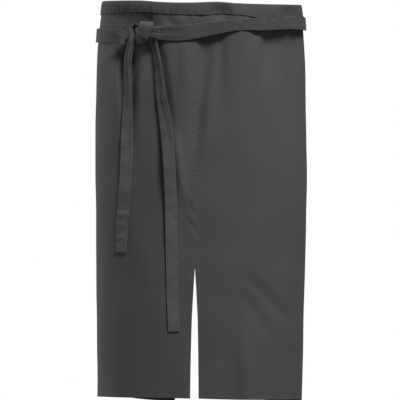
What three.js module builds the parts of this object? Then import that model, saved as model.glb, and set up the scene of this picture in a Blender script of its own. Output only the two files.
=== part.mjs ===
// Long work apron, tied as it is worn round the waist.
//
// A charcoal waist apron of plain twill. Two panels meet in a lapped seam at the front, with a walking
// split below it, and run round the sides to a gap at the back. A strip folded over their top edges is
// the waistband. Two flat ties start at the band's ends behind, cross there, come round to the front
// and make a half knot, from which their ends hang.
//
// Millimetres, +Z up, front towards -Y. The origin is the middle of the waist opening, level with the
// top of the waistband. "Girth" is the distance round a horizontal section of the worn form, from the
// middle of the front, positive towards +X. Past half the girth it runs on round the back.

import * as THREE from "three";

// Cloth
const PANEL_WIDTH = 500;
const PANEL_CLOTH = 1.2;
const BAND_CLOTH = 1;
const TIE_CLOTH = 1.8;
const AIR = 0.4;
const BAND_AIR = 0.7;

// Waistband
const BAND_HEIGHT = 24;
const BAND_STAND = PANEL_CLOTH / 2 + BAND_AIR + BAND_CLOTH / 2;

// Front seam: the left panel laps over the right one, down to the tack
const SEAM_GIRTH = -12;
const SEAM_LAP = 10.6;
const LAP_STAND = (PANEL_CLOTH + AIR) / 2;
const LAP_EASE = 16;
const LAP_FULL_ABOVE = -570;
const LAP_NONE_BELOW = -640;

// Mesh steps
const PANEL_COLUMNS = 33;
const PANEL_ROWS = 27;
const COLUMN_BIAS = 1.5;
const BAND_TURNS = 4;
const TIE_COLUMNS = 2;
const TIE_STEP = 15;
const RING_STEPS = 480;
const SLOPE_STEP = 4;
const FIT_STEPS = 12;

// The worn form's section is a rounded oval, flatter than an ellipse
const OVAL_POWER = 2.3;

// Horizontal sections: reach to the left, right, front and back
const SECTIONS = [
  { z: 0, left: 197.5, right: 200, front: 126, back: 145 },
  { z: -45, left: 203, right: 205, front: 129, back: 148 },
  { z: -110, left: 208.5, right: 209, front: 132, back: 151 },
  { z: -220, left: 212.3, right: 211, front: 133, back: 151 },
  { z: -345, left: 212.6, right: 213.3, front: 133, back: 149 },
  { z: -480, left: 211.2, right: 211.3, front: 132, back: 148 },
  { z: -640, left: 210, right: 206.8, front: 132, back: 148 },
  { z: -812, left: 208, right: 203.4, front: 132, back: 148 },
];

// Top edge of the waistband and hem of the panels, round the girth
const EDGES = [
  { girth: -560, top: -2, hem: -812 },
  { girth: -400, top: 0, hem: -810 },
  { girth: -250, top: 0.6, hem: -797 },
  { girth: -125, top: 0.6, hem: -798 },
  { girth: -80, top: -2.6, hem: -798.5 },
  { girth: -30, top: -4, hem: -799 },
  { girth: 35, top: -2.4, hem: -801 },
  { girth: 75, top: -5.4, hem: -802 },
  { girth: 150, top: -7, hem: -802.5 },
  { girth: 250, top: -7, hem: -803 },
  { girth: 400, top: -4, hem: -811 },
  { girth: 560, top: -2, hem: -812 },
];

// Edges of the two panels along the front seam and the split, as girths
const SPLIT = [
  { z: 0, left: SEAM_GIRTH + SEAM_LAP / 2, right: SEAM_GIRTH - SEAM_LAP / 2 },
  { z: -400, left: SEAM_GIRTH + SEAM_LAP / 2, right: SEAM_GIRTH - SEAM_LAP / 2 },
  { z: -440, left: SEAM_GIRTH + SEAM_LAP / 2, right: -16 },
  { z: -472, left: -9.5, right: -14.2 },
  { z: -498, left: -12.4, right: -11.6 },
  { z: -536, left: -12.8, right: -11.8 },
  { z: -583, left: -15.6, right: -9 },
  { z: -640, left: -18.2, right: -7 },
  { z: -705, left: -20.5, right: -5.4 },
  { z: -812, left: -23.6, right: -3.4 },
];

// Folds: a ridge or, below zero, a valley along a line from its top to its foot.
// "grow" and "fade" are the shares of the line over which it rises and dies away.
const FOLDS = [
  { name: "valley beside the seam", top: { girth: 20, z: -60 }, foot: { girth: -2, z: -365 },
    half: 20, height: -3, grow: 0.15, fade: 0.6 },
  { name: "ridge left of the seam", top: { girth: -34, z: -70 }, foot: { girth: -38, z: -170 },
    half: 15, height: 2, grow: 0.3, fade: 0.6 },
  { name: "fold beside the long tie end", top: { girth: -45, z: -240 }, foot: { girth: -25, z: -400 },
    half: 15, height: 3.4, grow: 0.4, fade: 0.4 },
  { name: "hollow under the left belt", top: { girth: -95, z: -90 }, foot: { girth: -100, z: -560 },
    half: 62, height: -4, grow: 0.3, fade: 0.6 },
  { name: "right front ridge", top: { girth: 84, z: -90 }, foot: { girth: 84, z: -420 },
    half: 36, height: 2.4, grow: 0.3, fade: 0.5 },
  { name: "upper slanting ridge", top: { girth: 78, z: -545 }, foot: { girth: 160, z: -640 },
    half: 24, height: 3.6, grow: 0.3, fade: 0.4 },
  { name: "slanting valley", top: { girth: 112, z: -545 }, foot: { girth: 188, z: -660 },
    half: 22, height: -4, grow: 0.3, fade: 0.4 },
  { name: "lower slanting valley", top: { girth: 80, z: -600 }, foot: { girth: 136, z: -670 },
    half: 18, height: -2.6, grow: 0.3, fade: 0.4 },
  { name: "hem valley", top: { girth: 76, z: -630 }, foot: { girth: 72, z: -815 },
    half: 20, height: -4.5, grow: 0.5, fade: 0 },
  { name: "hem ridge", top: { girth: 96, z: -630 }, foot: { girth: 98, z: -815 },
    half: 24, height: 5, grow: 0.5, fade: 0 },
  { name: "left back fold", top: { girth: -380, z: -180 }, foot: { girth: -395, z: -815 },
    half: 55, height: -9, grow: 0.6, fade: 0 },
  { name: "right back fold", top: { girth: 375, z: -180 }, foot: { girth: 390, z: -815 },
    half: 55, height: -9, grow: 0.6, fade: 0 },
];

// Directions across a tie's width, as shares along the girth, upwards and outwards
const UPRIGHT = [0, 1, 0];
const LEVEL = [-1, 0, 0];

// Routes of the ties, from the sewn end behind to the free end in front. A row is placed by its girth
// or, in front, by its x. "out" is how far the middle of the tie stands off the form.
const TIE_RIGHT_ROUTE = [
  { girth: 603, z: -13, out: 3.8, width: 24, across: UPRIGHT },
  { girth: 592, z: -13, out: 4, width: 24, across: UPRIGHT },
  { girth: 575, z: -13.5, out: 6.6, width: 25, across: UPRIGHT },
  { girth: 535, z: -15, out: 6.8, width: 28, across: UPRIGHT },
  { girth: 488, z: -19, out: 6.9, width: 28, across: UPRIGHT },
  { girth: 430, z: -25, out: 5, width: 28, across: UPRIGHT },
  { girth: 350, z: -34, out: 4, width: 28, across: UPRIGHT },
  { girth: 270, z: -41, out: 4.4, width: 28, across: UPRIGHT },
  { x: 180, z: -43.5, out: 5.6, width: 28, across: UPRIGHT },
  { x: 129, z: -45, out: 6, width: 28, across: UPRIGHT },
  { x: 79, z: -46, out: 3.6, width: 28, across: UPRIGHT },
  { x: 38, z: -50, out: 4, width: 30, across: UPRIGHT },
  { x: -2, z: -59, out: 5.5, width: 31, across: UPRIGHT },
  { x: -38, z: -62.5, out: 5.8, width: 31, across: UPRIGHT },
  { x: -73, z: -63, out: 5.6, width: 30, across: UPRIGHT },
  { x: -96, z: -62.5, out: 6.4, width: 25, across: UPRIGHT },
  { x: -112, z: -59.5, out: 7.2, width: 22, across: [0, 1, -0.05] },
  { x: -122, z: -57.5, out: 7.2, width: 15, across: [-0.1, 0.95, -0.2] },
  { x: -131.5, z: -58, out: 8.6, width: 12, across: [-0.4, 0.45, -0.8] },
  { x: -135.5, z: -66, out: 10.2, width: 12, across: [-0.6, -0.1, -0.8] },
  { x: -137.5, z: -79, out: 9.8, width: 13, across: [-0.75, -0.1, -0.65] },
  { x: -141.5, z: -95, out: 7.8, width: 18, across: [-0.93, 0, -0.37] },
  { x: -147, z: -115, out: 4.8, width: 24, across: [-0.98, 0, -0.2] },
  { x: -149, z: -150, out: 3.6, width: 28, across: LEVEL },
  { x: -149, z: -220, out: 3, width: 28, across: LEVEL },
  { x: -150.5, z: -280, out: 3, width: 28, across: LEVEL },
  { x: -152.5, z: -345, out: 3, width: 28, across: LEVEL },
  { x: -156, z: -392, out: 3, width: 28, across: LEVEL },
  { x: -160.5, z: -452, out: 3, width: 28, across: LEVEL },
  { x: -163, z: -506, out: 3, width: 28, across: LEVEL },
];

const TIE_LEFT_ROUTE = [
  { girth: -627, z: -13, out: 3.8, width: 24, across: UPRIGHT },
  { girth: -597, z: -15, out: 3.8, width: 25, across: UPRIGHT },
  { girth: -555, z: -29, out: 3.7, width: 28, across: UPRIGHT },
  { girth: -512, z: -47, out: 3.7, width: 28, across: UPRIGHT },
  { girth: -440, z: -56, out: 3.4, width: 28, across: UPRIGHT },
  { girth: -360, z: -63, out: 3.4, width: 28, across: UPRIGHT },
  { girth: -271, z: -67.5, out: 4.2, width: 28, across: UPRIGHT },
  { x: -174, z: -68.5, out: 3.6, width: 28, across: UPRIGHT },
  { x: -158, z: -73, out: 3, width: 27, across: UPRIGHT },
  { x: -145.5, z: -80, out: 2.7, width: 22, across: [0.2, 0.95, 0] },
  { x: -134.5, z: -83.5, out: 3.2, width: 14, across: [-0.1, 0.95, 0.1] },
  { x: -127, z: -82, out: 7.4, width: 14, across: [-0.75, 0.6, 0] },
  { x: -120, z: -76, out: 12.4, width: 22, across: [-0.94, 0.3, 0] },
  { x: -116, z: -68.5, out: 15, width: 28, across: [-0.96, 0.27, 0] },
  { x: -113.5, z: -59.5, out: 15.6, width: 30, across: [-0.96, 0.27, 0] },
  { x: -110, z: -49.5, out: 13.2, width: 30, across: [-0.98, 0.18, 0] },
  { x: -108, z: -45.3, out: 8.5, width: 30, across: [-0.99, 0.14, 0] },
  { x: -107, z: -49, out: 3.2, width: 29, across: LEVEL },
  { x: -105, z: -62, out: 2.3, width: 26, across: LEVEL },
  { x: -102, z: -80, out: 2.8, width: 19, across: LEVEL },
  { x: -98, z: -98, out: 3.6, width: 18, across: LEVEL },
  { x: -91, z: -130, out: 4, width: 19, across: LEVEL },
  { x: -83, z: -175, out: 3.6, width: 22, across: LEVEL },
  { x: -73, z: -235, out: 4, width: 26, across: [-0.98, 0, 0.2] },
  { x: -65.5, z: -292, out: 6, width: 27, across: [-0.95, 0, 0.3] },
  { x: -62.5, z: -345, out: 8, width: 27, across: [-0.94, 0, 0.34] },
  { x: -61.5, z: -397, out: 6.5, width: 27, across: [-0.96, 0, 0.28] },
  { x: -60.5, z: -468, out: 4.4, width: 27, across: [-0.98, 0, 0.18] },
  { x: -58, z: -603, out: 3.4, width: 27, across: LEVEL },
  { x: -55, z: -672, out: 3.4, width: 27, across: LEVEL },
];

// A smooth curve of one column against another, through the rows of a table
function curveThrough(rows, key, column) {
  const sorted = [...rows].sort((a, b) => a[key] - b[key]);
  const slope = sorted.map((row, i) => {
    const before = sorted[Math.max(i - 1, 0)];
    const after = sorted[Math.min(i + 1, sorted.length - 1)];
    return (after[column] - before[column]) / (after[key] - before[key]);
  });
  return (at) => {
    const last = sorted.length - 1;
    const place = THREE.MathUtils.clamp(at, sorted[0][key], sorted[last][key]);
    const i = Math.min(sorted.findLastIndex((row) => row[key] <= place), last - 1);
    const span = sorted[i + 1][key] - sorted[i][key];
    const t = (place - sorted[i][key]) / span;
    const rise = sorted[i + 1][column] - sorted[i][column];
    const ease = t * t * (3 - 2 * t);
    const leave = t * (1 - t) * (1 - t) * slope[i] * span;
    const arrive = t * t * (1 - t) * slope[i + 1] * span;
    return sorted[i][column] + ease * rise + leave - arrive;
  };
}

// Straight steps between the rows of a table, for edges with corners
function stepsThrough(rows, key, column) {
  const sorted = [...rows].sort((a, b) => a[key] - b[key]);
  return (at) => {
    const last = sorted.length - 1;
    const place = THREE.MathUtils.clamp(at, sorted[0][key], sorted[last][key]);
    const i = Math.min(sorted.findLastIndex((row) => row[key] <= place), last - 1);
    const t = (place - sorted[i][key]) / (sorted[i + 1][key] - sorted[i][key]);
    return THREE.MathUtils.lerp(sorted[i][column], sorted[i + 1][column], t);
  };
}

const reach = {
  left: curveThrough(SECTIONS, "z", "left"),
  right: curveThrough(SECTIONS, "z", "right"),
  front: curveThrough(SECTIONS, "z", "front"),
  back: curveThrough(SECTIONS, "z", "back"),
};
const bandTop = curveThrough(EDGES, "girth", "top");
const hemLevel = curveThrough(EDGES, "girth", "hem");
const seamEdge = {
  left: stepsThrough(SPLIT, "z", "left"),
  right: stepsThrough(SPLIT, "z", "right"),
};

// One horizontal section as a closed ring of points with their girths, from back to back
const rings = new Map();
function ringAt(z) {
  if (rings.has(z)) return rings.get(z);
  const points = [];
  for (let i = 0; i <= RING_STEPS; i++) {
    const turn = Math.PI * ((2 * i) / RING_STEPS - 1);
    const side = Math.sin(turn);
    const ahead = Math.cos(turn);
    const width = reach[side < 0 ? "left" : "right"](z);
    const depth = reach[ahead < 0 ? "back" : "front"](z);
    const x = width * Math.sign(side) * Math.abs(side) ** (2 / OVAL_POWER);
    const y = -depth * Math.sign(ahead) * Math.abs(ahead) ** (2 / OVAL_POWER);
    points.push(new THREE.Vector2(x, y));
  }
  const girths = [0];
  for (let i = 1; i <= RING_STEPS; i++) {
    girths.push(girths[i - 1] + points[i].distanceTo(points[i - 1]));
  }
  const toFront = girths[RING_STEPS / 2];
  const ring = { points, girths: girths.map((girth) => girth - toFront), whole: girths[RING_STEPS] };
  rings.set(z, ring);
  return ring;
}

// Place on a section at a girth, with the direction along it
function onRing(girth, z) {
  const { points, girths, whole } = ringAt(z);
  let place = girth;
  if (place > girths[RING_STEPS]) place -= whole;
  if (place < girths[0]) place += whole;
  const i = Math.min(girths.findLastIndex((start) => start <= place), RING_STEPS - 1);
  const t = (place - girths[i]) / (girths[i + 1] - girths[i]);
  const at = points[i].clone().lerp(points[i + 1], t);
  const along = points[i + 1].clone().sub(points[i]).normalize();
  return { at: new THREE.Vector3(at.x, at.y, z), along: new THREE.Vector3(along.x, along.y, 0) };
}

// Place on the worn form, with the directions along the girth, up its slope and outwards
function formAt(girth, z) {
  const { at, along } = onRing(girth, z);
  const up = onRing(girth, z + SLOPE_STEP).at.sub(onRing(girth, z - SLOPE_STEP).at).normalize();
  const out = new THREE.Vector3(along.y, -along.x, 0);
  return { at, along, up, out };
}

// Girth of the place in front whose x, with its stand-off, is given
function girthAcross(x, z, stand) {
  let girth = x;
  for (let n = 0; n < FIT_STEPS; n++) {
    const { at, out } = formAt(girth, z);
    girth += x - at.x - out.x * stand;
  }
  return girth;
}

// How far the folds push the cloth out from the form
function foldHeight(girth, z) {
  let height = 0;
  for (const fold of FOLDS) {
    const t = (fold.top.z - z) / (fold.top.z - fold.foot.z);
    const middle = THREE.MathUtils.lerp(fold.top.girth, fold.foot.girth, t);
    const off = Math.abs(girth - middle) / fold.half;
    if (t <= 0 || t > 1 || off >= 1) continue;
    const rising = THREE.MathUtils.smoothstep(t, 0, fold.grow);
    const dying = fold.fade ? 1 - THREE.MathUtils.smoothstep(t, 1 - fold.fade, 1) : 1;
    height += fold.height * rising * dying * (0.5 + 0.5 * Math.cos(Math.PI * off));
  }
  return height;
}

// Stand-off of a lapped layer beside the front seam, which ends where the split has opened
function lapHeight(girth, z) {
  const off = Math.abs(girth - SEAM_GIRTH);
  const beside = 1 - THREE.MathUtils.smoothstep(off, SEAM_LAP, SEAM_LAP + LAP_EASE);
  const above = THREE.MathUtils.smoothstep(z, LAP_NONE_BELOW, LAP_FULL_ABOVE);
  return LAP_STAND * beside * above;
}

// A closed wall of cloth about a grid of middle points, given as a function of column and row
function clothWall(columns, rows, thickness, middle) {
  const grid = [];
  for (let i = 0; i <= columns; i++) {
    grid.push([]);
    for (let j = 0; j <= rows; j++) grid[i].push(middle(i, j));
  }
  const box = new THREE.BoxGeometry(1, 1, 1, columns, rows, 1);
  const place = box.getAttribute("position");
  for (let n = 0; n < place.count; n++) {
    const i = Math.round((place.getX(n) + 0.5) * columns);
    const j = Math.round((place.getY(n) + 0.5) * rows);
    const before = grid[Math.max(i - 1, 0)][j];
    const after = grid[Math.min(i + 1, columns)][j];
    const below = grid[i][Math.max(j - 1, 0)];
    const above = grid[i][Math.min(j + 1, rows)];
    const along = after.clone().sub(before);
    const normal = along.cross(above.clone().sub(below)).normalize();
    const point = grid[i][j].clone().addScaledVector(normal, place.getZ(n) * thickness);
    place.setXYZ(n, point.x, point.y, point.z);
  }
  box.computeVertexNormals();
  return box;
}

// Girth of a column of cloth, counted from the seam: closer columns in front, wider ones behind
function columnGirth(count) {
  const share = Math.abs(count) / PANEL_COLUMNS;
  return SEAM_GIRTH + Math.sign(count) * PANEL_WIDTH * share ** COLUMN_BIAS;
}

// One panel: side -1 runs from its back edge to the seam, side +1 from the seam to its back edge
function panel(side) {
  const edge = side < 0 ? seamEdge.left : seamEdge.right;
  return clothWall(PANEL_COLUMNS, PANEL_ROWS, PANEL_CLOTH, (i, j) => {
    const count = side < 0 ? i - PANEL_COLUMNS : i;
    const flat = columnGirth(count);
    const top = bandTop(flat) - BAND_CLOTH - BAND_STAND - AIR;
    const z = THREE.MathUtils.lerp(hemLevel(flat), top, j / PANEL_ROWS);
    const girth = flat + (edge(z) - SEAM_GIRTH) * (1 - Math.abs(count) / PANEL_COLUMNS);
    const { at, out } = formAt(girth, z);
    return at.addScaledVector(out, foldHeight(girth, z) - side * lapHeight(girth, z));
  });
}

// The waistband: a strip up the outside, over the top edges of the panels and down the inside
function waistband() {
  const profile = [{ out: BAND_STAND, down: BAND_HEIGHT }];
  for (let k = 0; k <= BAND_TURNS; k++) {
    const turn = (k * Math.PI) / BAND_TURNS;
    profile.push({
      out: BAND_STAND * Math.cos(turn),
      down: BAND_CLOTH / 2 + BAND_STAND * (1 - Math.sin(turn)),
    });
  }
  profile.push({ out: -BAND_STAND, down: BAND_HEIGHT });
  return clothWall(2 * PANEL_COLUMNS, profile.length - 1, BAND_CLOTH, (i, j) => {
    const girth = columnGirth(i - PANEL_COLUMNS);
    const z = bandTop(girth) - profile[j].down;
    const { at, out } = formAt(girth, z);
    const stand = (1 + lapHeight(girth, z) / BAND_STAND) * profile[j].out;
    return at.addScaledVector(out, stand);
  });
}

// A flat tie along its route, which is smoothed round the form before it is set on it
function tie(route) {
  const rows = route.map(({ girth, x, z, out }) => {
    return new THREE.Vector3(girth ?? girthAcross(x, z, out), z, out);
  });
  const curve = new THREE.CatmullRomCurve3(rows, false, "centripetal");
  const stations = [];
  for (let k = 0; k < rows.length - 1; k++) {
    const steps = Math.max(2, Math.round(rows[k].distanceTo(rows[k + 1]) / TIE_STEP));
    const last = k === rows.length - 2 ? 1 : 0;
    for (let n = 0; n < steps + last; n++) {
      const t = n / steps;
      const { x: girth, y: z, z: stand } = curve.getPoint((k + t) / (rows.length - 1));
      const { at, along, up, out } = formAt(girth, z);
      const [side, rise, lift] = route[k].across.map((share, c) => {
        return THREE.MathUtils.lerp(share, route[k + 1].across[c], t);
      });
      stations.push({
        place: at.addScaledVector(out, stand),
        across: along.multiplyScalar(side).addScaledVector(up, rise).addScaledVector(out, lift),
        width: THREE.MathUtils.lerp(route[k].width, route[k + 1].width, t),
      });
    }
  }
  stations.forEach(({ across }, i) => {
    const before = stations[Math.max(i - 1, 0)].place;
    const after = stations[Math.min(i + 1, stations.length - 1)].place;
    const heading = after.clone().sub(before).normalize();
    across.addScaledVector(heading, -across.dot(heading)).normalize();
  });
  return clothWall(stations.length - 1, TIE_COLUMNS, TIE_CLOTH, (i, j) => {
    const { place, across, width } = stations[i];
    return place.clone().addScaledVector(across, width * (j / TIE_COLUMNS - 0.5));
  });
}

// Charcoal twill, a little darker on the waistband
const PANEL_COLOUR = 0x474747;
const BAND_COLOUR = 0x434343;
const TIE_COLOUR = 0x484848;
const TWILL_ROUGHNESS = 0.9;

const apron = new THREE.Group();
function add(name, geometry, color) {
  const material = new THREE.MeshStandardMaterial({ color, roughness: TWILL_ROUGHNESS, metalness: 0 });
  const mesh = new THREE.Mesh(geometry, material);
  mesh.name = name;
  apron.add(mesh);
}

add("panel_left", panel(-1), PANEL_COLOUR);
add("panel_right", panel(1), PANEL_COLOUR);
add("waistband", waistband(), BAND_COLOUR);
add("tie_left", tie(TIE_LEFT_ROUTE), TIE_COLOUR);
add("tie_right", tie(TIE_RIGHT_ROUTE), TIE_COLOUR);

export default apron;
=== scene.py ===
# %% [markdown]
# # A long work apron
# This is a plain waist apron of charcoal twill, tied as it is worn: two panels with a lapped seam and a
# walking split in front, a folded waistband, and two flat ties that make a half knot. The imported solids
# already hold every place and size. This lesson lays finer cloth over them, sews it and gives it its
# weave, so no solid is moved or resized.

import math

import bpy
import numpy as np
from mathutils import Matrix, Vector


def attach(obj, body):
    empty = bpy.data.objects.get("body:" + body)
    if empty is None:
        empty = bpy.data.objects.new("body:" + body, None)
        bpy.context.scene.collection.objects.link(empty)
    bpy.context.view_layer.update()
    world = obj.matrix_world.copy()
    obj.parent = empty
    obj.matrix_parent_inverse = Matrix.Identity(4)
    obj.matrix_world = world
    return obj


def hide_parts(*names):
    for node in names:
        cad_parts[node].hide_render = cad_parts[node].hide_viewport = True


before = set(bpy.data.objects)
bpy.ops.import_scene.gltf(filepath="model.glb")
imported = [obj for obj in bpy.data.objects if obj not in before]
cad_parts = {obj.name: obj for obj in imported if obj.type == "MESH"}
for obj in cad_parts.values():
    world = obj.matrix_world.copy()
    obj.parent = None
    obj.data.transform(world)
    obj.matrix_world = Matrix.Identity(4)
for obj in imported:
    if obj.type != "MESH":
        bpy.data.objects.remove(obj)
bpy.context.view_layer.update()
scene = bpy.context.scene
MM = 0.001
print("packed solids:", ", ".join(sorted(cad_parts)))

# %% [markdown]
# ## Camera
# The apron is seen straight from the front and its sides hardly converge, so it was photographed from
# far off. An orthographic camera would give the same picture. A very long lens is used because it also
# frames the apron well from every other side.

# %% Camera
PIXELS = 400
MM_PER_PIXEL = 2.02
MIDDLE_X = -2.0
MIDDLE_Z = -401.0
CAMERA_DISTANCE = 26.0

camera_data = bpy.data.cameras.new("front_camera")
camera_data.lens = camera_data.sensor_width * CAMERA_DISTANCE / (PIXELS * MM_PER_PIXEL * MM)
camera_data.clip_end = 4 * CAMERA_DISTANCE
camera = bpy.data.objects.new("front_camera", camera_data)
camera.location = (MIDDLE_X * MM, -CAMERA_DISTANCE, MIDDLE_Z * MM)
camera.rotation_euler = (math.radians(90), 0, 0)
scene.collection.objects.link(camera)
scene.camera = camera
print(f"lens of {camera_data.lens:.0f} mm at {CAMERA_DISTANCE:.0f} m")

# %% [markdown]
# ## Two small helpers
# Every finish below is a tree of nodes, so one function adds a node, sets it and links it. Colours are
# written as sRGB hex values, as a colour picker shows them, and Blender's shaders want linear light, so
# one function turns the first into the second.

# %% Node and colour helpers
def add_node(tree, kind, values=None, links=None, **settings):
    """Adds a node: settings are its properties, values and links go to its input sockets."""
    node = tree.nodes.new(kind)
    for name, value in settings.items():
        setattr(node, name, value)
    for socket, value in (values or {}).items():
        node.inputs[socket].default_value = value
    for socket, source in (links or {}).items():
        tree.links.new(source, node.inputs[socket])
    return node


def linear(hex_colour):
    """Linear red, green, blue and alpha of an sRGB hex colour."""
    shares = [int(hex_colour[i : i + 2], 16) / 255 for i in (1, 3, 5)]
    return [c / 12.92 if c <= 0.04045 else ((c + 0.055) / 1.055) ** 2.4 for c in shares] + [1.0]


print("#484848 in linear light:", round(linear("#484848")[0], 4))

# %% [markdown]
# ## Studio
# The apron stands free on white. One soft lamp at the upper right draws the folds, and a larger one at the
# left, a little behind, lights the edge that turns away. A white room would light a dark cloth too evenly,
# so what the lens sees behind the apron is pure white, and what falls on the cloth from all round is dimmer.

# %% White room
ROOM_LIGHT = 0.22
BACKGROUND_WHITE = 1.0

scene.view_settings.view_transform = "Standard"
scene.world = bpy.data.worlds.new("white_room")
scene.world.use_nodes = True
room = scene.world.node_tree
room.nodes.clear()
seen = add_node(room, "ShaderNodeLightPath").outputs["Is Camera Ray"]
around = add_node(room, "ShaderNodeBackground", {"Color": linear("#ffffff"), "Strength": ROOM_LIGHT})
behind = add_node(room, "ShaderNodeBackground", {"Color": linear("#ffffff"), "Strength": BACKGROUND_WHITE})
either = add_node(
    room, "ShaderNodeMixShader", links={0: seen, 1: around.outputs[0], 2: behind.outputs[0]}
)
add_node(room, "ShaderNodeOutputWorld", links={"Surface": either.outputs[0]})
print(f"room light {ROOM_LIGHT}")

# %% Lamps
LAMPS = [
    {"name": "key_upper_right", "place": (1.7, -2.95, 4.29), "size": 1.3, "power": 440},
    {"name": "side_left", "place": (-5.38, 2.51, 0.44), "size": 3.0, "power": 310},
]
AIM = Vector((0.0, 0.0, -0.4))

for lamp in LAMPS:
    light = bpy.data.lights.new(lamp["name"], "AREA")
    light.size = lamp["size"]
    light.energy = lamp["power"]
    lamp_object = bpy.data.objects.new(lamp["name"], light)
    lamp_object.location = lamp["place"]
    lamp_object.rotation_euler = (lamp_object.location - AIM).to_track_quat("Z", "Y").to_euler()
    scene.collection.objects.link(lamp_object)
print(len(LAMPS), "lamps")

# %% [markdown]
# ## The worn form
# The cloth hangs round a form that is a flattened oval at every height. The solids were made on the same
# form, so its table is repeated here. A subdivision surface over the solids would round their facets but
# keep their coarse steps. Working the form out again gives cloth as smooth and as fine as it needs to be.
# Sizes are in millimetres until a mesh is made, and "girth" is the distance round the form from the front.

# %% Smooth curves through a table
def curve_through(places, values):
    """A smooth curve through the rows of a table, level beyond its ends."""
    order = np.argsort(places)
    x = np.asarray(places, float)[order]
    y = np.asarray(values, float)[order]
    slope = np.empty_like(y)
    slope[1:-1] = (y[2:] - y[:-2]) / (x[2:] - x[:-2])
    slope[0] = (y[1] - y[0]) / (x[1] - x[0])
    slope[-1] = (y[-1] - y[-2]) / (x[-1] - x[-2])

    def curve(place):
        p = np.clip(place, x[0], x[-1])
        i = np.clip(np.searchsorted(x, p, side="right") - 1, 0, len(x) - 2)
        span = x[i + 1] - x[i]
        t = (p - x[i]) / span
        ease = t * t * (3 - 2 * t)
        leave = t * (1 - t) ** 2 * slope[i] * span
        arrive = t * t * (1 - t) * slope[i + 1] * span
        return y[i] + ease * (y[i + 1] - y[i]) + leave - arrive

    return curve


def smoothstep(x, low, high):
    """Rises softly from 0 at low to 1 at high."""
    t = np.clip((x - low) / (high - low), 0, 1)
    return t * t * (3 - 2 * t)


def near(off, width):
    """One on a line, and soon nothing at more than a width beside it."""
    return np.exp(-((off / width) ** 2))


def unit(vectors):
    """The same directions with a length of one."""
    return vectors / np.linalg.norm(vectors, axis=-1, keepdims=True)


print("a soft rise at its quarter and half:", smoothstep(np.array([0.25, 0.5]), 0, 1))

# %% Sections of the form
SECTIONS = {
    "z": [0, -45, -110, -220, -345, -480, -640, -812],
    "left": [197.5, 203, 208.5, 212.3, 212.6, 211.2, 210, 208],
    "right": [200, 205, 209, 211, 213.3, 211.3, 206.8, 203.4],
    "front": [126, 129, 132, 133, 133, 132, 132, 132],
    "back": [145, 148, 151, 151, 149, 148, 148, 148],
}
OVAL_POWER = 2.3
LOWEST_LEVEL = -848
HIGHEST_LEVEL = 32
LEVEL_STEP = 4.0
FARTHEST_GIRTH = 660
GIRTH_STEP = 1.0
SECTION_POINTS = 2881
LEVELS = np.arange(LOWEST_LEVEL, HIGHEST_LEVEL + 1, LEVEL_STEP)
GIRTHS = np.arange(-FARTHEST_GIRTH, FARTHEST_GIRTH + 1, GIRTH_STEP)
TURNS = np.linspace(-math.pi, math.pi, SECTION_POINTS)
reach = {side: curve_through(SECTIONS["z"], SECTIONS[side]) for side in SECTIONS if side != "z"}


def section(z):
    """One level of the form, as the places of every girth."""
    side = np.sin(TURNS)
    ahead = np.cos(TURNS)
    width = np.where(side < 0, reach["left"](z), reach["right"](z))
    depth = np.where(ahead < 0, reach["back"](z), reach["front"](z))
    x = width * np.sign(side) * np.abs(side) ** (2 / OVAL_POWER)
    y = -depth * np.sign(ahead) * np.abs(ahead) ** (2 / OVAL_POWER)
    girth = np.concatenate([[0], np.cumsum(np.hypot(np.diff(x), np.diff(y)))])
    girth -= girth[len(TURNS) // 2]
    places = (GIRTHS - girth[0]) % (girth[-1] - girth[0]) + girth[0]
    return np.stack([np.interp(places, girth, x), np.interp(places, girth, y)], axis=-1)


form = np.stack([section(z) for z in LEVELS])
form_along = np.gradient(form, GIRTH_STEP, axis=1)
form_slope = np.gradient(form, LEVEL_STEP, axis=0)
print("form sampled at", form.shape[0], "levels and", form.shape[1], "girths")

# %% Places on the form
JUST_INSIDE = 1.001
FIT_STEPS = 12


def look_up(table, girth, z):
    """Values between the four nearest entries of a table by level and girth."""
    row = np.clip((z - LEVELS[0]) / LEVEL_STEP, 0, len(LEVELS) - JUST_INSIDE)
    column = np.clip((girth - GIRTHS[0]) / GIRTH_STEP, 0, len(GIRTHS) - JUST_INSIDE)
    i = row.astype(int)
    j = column.astype(int)
    s = (row - i)[..., None]
    t = (column - j)[..., None]
    lower = (1 - t) * table[i, j] + t * table[i, j + 1]
    upper = (1 - t) * table[i + 1, j] + t * table[i + 1, j + 1]
    return (1 - s) * lower + s * upper


def form_at(girth, z):
    """Places on the worn form, with the directions along its girth, up its slope and outwards."""
    girth, z = np.broadcast_arrays(np.asarray(girth, float), np.asarray(z, float))
    level = np.zeros(z.shape + (1,))
    at = np.concatenate([look_up(form, girth, z), z[..., None]], axis=-1)
    along = unit(np.concatenate([look_up(form_along, girth, z), level], axis=-1))
    up = unit(np.concatenate([look_up(form_slope, girth, z), level + 1], axis=-1))
    out = np.stack([along[..., 1], -along[..., 0], level[..., 0]], axis=-1)
    return at, along, up, out


def girth_across(x, z, stand):
    """Girth of the place in front whose x, with its stand-off, is given."""
    girth = np.array(float(x))
    for _ in range(FIT_STEPS):
        at, _, _, out = form_at(girth, np.array(float(z)))
        girth = girth + x - at[0] - out[0] * stand
    return float(girth)


print("front of the waist:", np.round(form_at(0.0, 0.0)[0], 1))

# %% [markdown]
# ## Folds
# Worn cloth shows a few soft folds: valleys beside the seam, a ridge beside the long tie end, slanting
# drag lines above the hem. A cloth simulation would make folds of its own and not these, so each one is
# a line with a width and a height, as a tailor would chalk it. Where the belt ties the cloth in, a fold has
# no line, so dents have a place and a reach to each side. Creases, puckers and the slight unevenness of
# worn twill are added the same way.

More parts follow.
